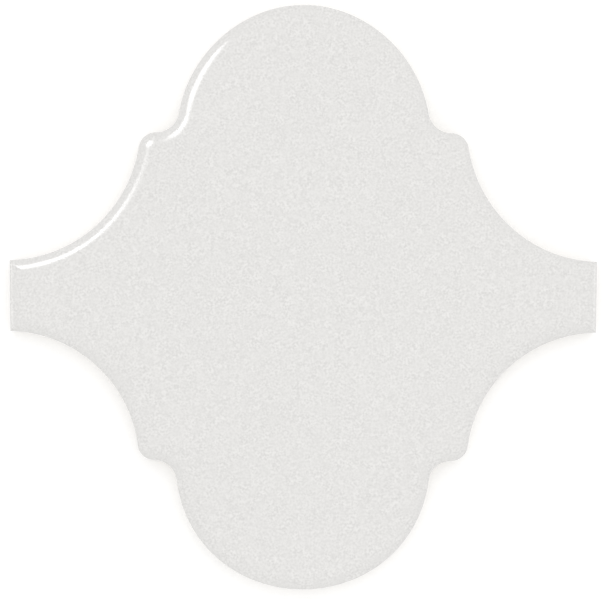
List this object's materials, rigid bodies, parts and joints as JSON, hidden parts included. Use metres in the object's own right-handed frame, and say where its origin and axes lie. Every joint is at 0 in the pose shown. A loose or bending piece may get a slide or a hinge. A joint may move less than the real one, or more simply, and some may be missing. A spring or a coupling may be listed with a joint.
{
  "type": "moroccan arabesque tile",
  "caption": "Glazed ceramic wall tile of lantern shape, with round lobes, hollow sides and narrow flat ends that nest with its neighbours in an arabesque pattern.",
  "frame": {"origin": "centre of the back, on the plane that the tile lies on", "axes": "+Z through the glazed face, +X across the two flat ends, +Y towards the upper lobe"},
  "size_m": [0.12, 0.1196, 0.0085],
  "materials": {
    "white_glaze": "gloss"
  },
  "bodies": {
    "root": {"arabesque_tile": "white_glaze"}
  },
  "joints": []
}
